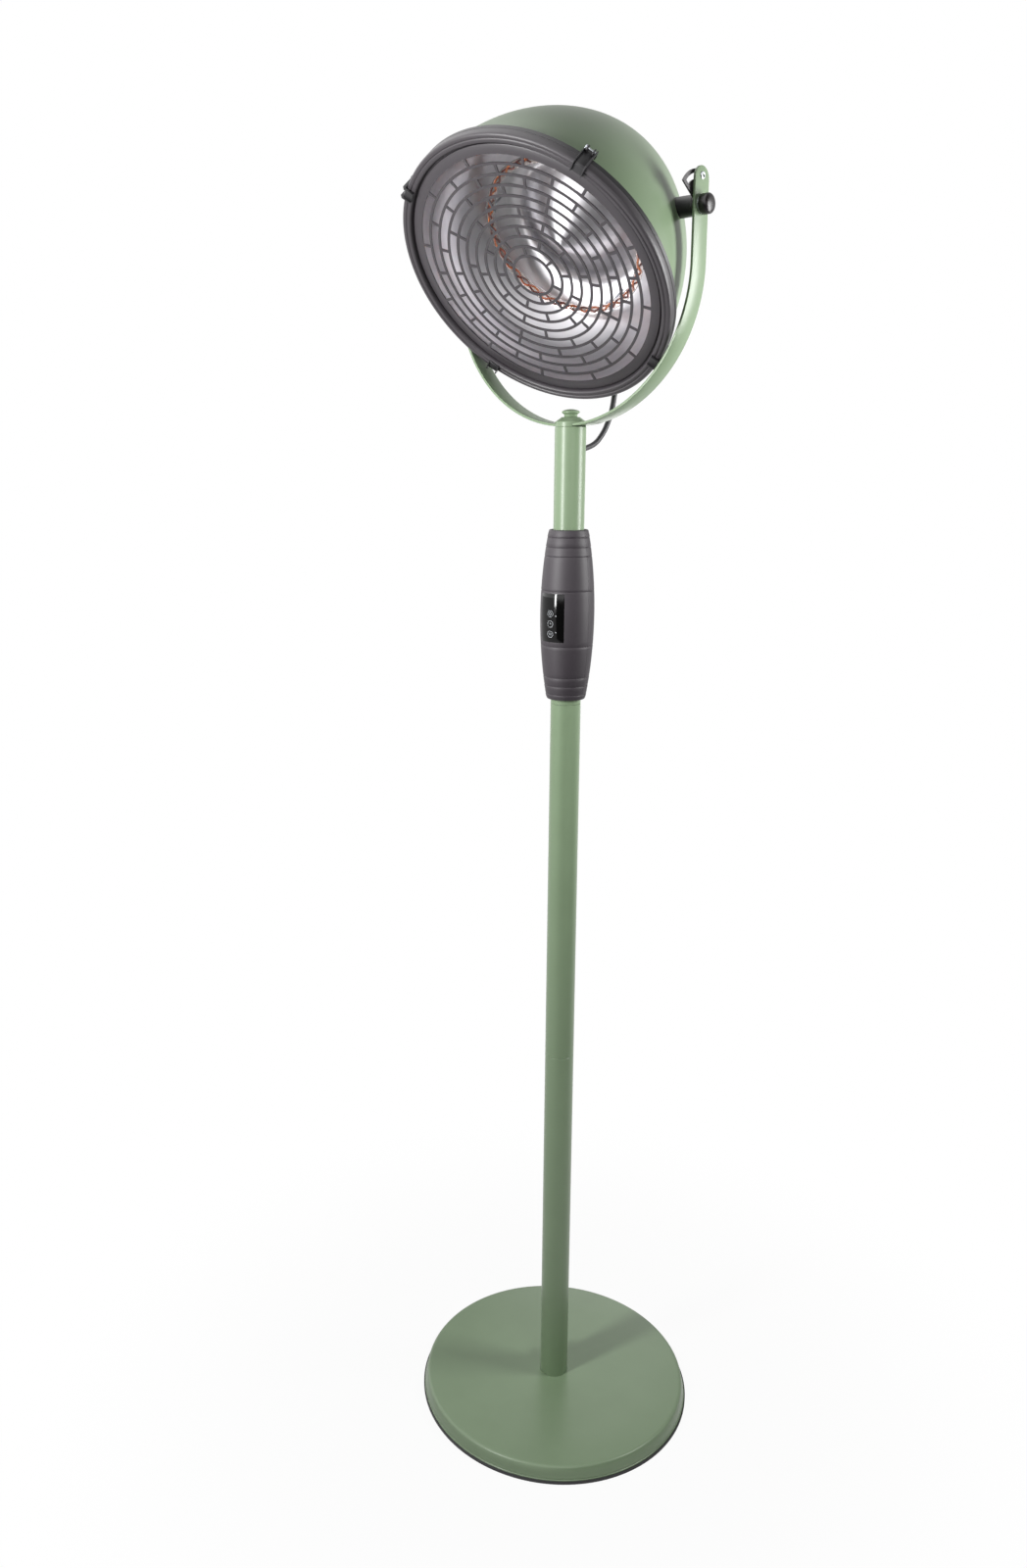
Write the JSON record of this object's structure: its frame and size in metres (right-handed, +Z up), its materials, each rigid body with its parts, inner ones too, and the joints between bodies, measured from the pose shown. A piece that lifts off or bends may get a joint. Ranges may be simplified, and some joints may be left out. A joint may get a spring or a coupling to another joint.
{
  "type": "infrared patio heater tower",
  "caption": "Free-standing infrared patio heater: round weighted base, slim pole, barrel-shaped touch control box and a domed ring-lamp head behind a slotted guard, hung in a tilting strap yoke",
  "frame": {"origin": "Centre of the base's underside, on the floor and on the pole's axis", "axes": "+Z up the pole, -Y the way the control panel and the head face, +X along the tilt axis, to the right when the heater is seen from the front"},
  "size_m": [0.4412, 0.4444, 1.9872],
  "materials": {
    "sage_paint": "satin sage-green enamel on pressed and spun steel",
    "black_paint": "satin charcoal enamel on pressed steel",
    "dark_plastic": "fine matt moulded plastic",
    "gloss_panel": "polished black plastic window",
    "knob_plastic": "polished black moulding",
    "rubber": "matt black rubber",
    "cast_iron": "rough casting",
    "zinc_steel": "bright zinc-plated steel",
    "spun_aluminium": "bright spun and brushed bowl",
    "quartz": "clear quartz tube",
    "filament_metal": "dark orange tinted resistance wire",
    "ceramic": "unglazed off-white ceramic",
    "circuit_board": "green solder-masked board",
    "nylon": "plain black nylon"
  },
  "bodies": {
    "stand": {"base_cover": "sage_paint", "lower_tube": "sage_paint", "upper_tube": "sage_paint", "neck_tube": "sage_paint", "yoke": "sage_paint", "pole_cap": "sage_paint", "finial_nut": "sage_paint", "box_front_shell": "dark_plastic", "box_rear_shell": "dark_plastic", "control_panel": "gloss_panel", "display_module": "gloss_panel", "power_relay": "knob_plastic", "base_pad": "rubber", "mains_gland": "rubber", "neck_grommet": "rubber", "lead_cable": "rubber", "base_weight": "cast_iron", "anchor_bolt": "zinc_steel", "anchor_washer": "zinc_steel", "foot_plug": "zinc_steel", "anchor_nut": "zinc_steel", "lower_coupler": "zinc_steel", "upper_coupler": "zinc_steel", "box_screw_1": "zinc_steel", "box_screw_2": "zinc_steel", "tilt_switch": "zinc_steel", "neck_plug": "zinc_steel", "outer_washer_right": "zinc_steel", "outer_washer_left": "zinc_steel", "stop_rivet": "zinc_steel", "touch_board": "circuit_board", "power_board": "circuit_board", "friction_washer_right": "nylon", "friction_washer_left": "nylon"},
    "head": {"dome_shell": "sage_paint", "reflector": "spun_aluminium", "rim_ring": "black_paint", "guard": "black_paint", "guard_clip_1": "black_paint", "guard_clip_2": "black_paint", "guard_clip_3": "black_paint", "guard_clip_4": "black_paint", "lamp_tube": "quartz", "filament": "filament_metal", "lamp_holder_1": "ceramic", "lamp_holder_2": "ceramic", "lamp_support_1": "zinc_steel", "lamp_support_2": "zinc_steel", "terminal_block": "ceramic", "spacer_right": "black_paint", "spacer_left": "black_paint", "pivot_bolt_right": "zinc_steel", "pivot_bolt_left": "zinc_steel", "tilt_quadrant": "black_paint", "dome_gland": "rubber"},
    "knob_right": {"clamp_knob_right": "knob_plastic"},
    "knob_left": {"clamp_knob_left": "knob_plastic"}
  },
  "joints": [
    {"name": "head_tilt", "type": "hinge", "parent": "stand", "child": "head", "pos_m": [0, 0, 1.846], "axis": [1, 0, 0], "range_deg": [-41, 3], "deforming": ["lead_cable"]},
    {"name": "knob_right_turn", "type": "hinge", "parent": "head", "child": "knob_right", "pos_m": [0.2142, 0, 1.846], "axis": [1, 0, 0], "range_deg": [0, 360]},
    {"name": "knob_left_turn", "type": "hinge", "parent": "head", "child": "knob_left", "pos_m": [-0.2142, 0, 1.846], "axis": [-1, 0, 0], "range_deg": [0, 360]}
  ]
}
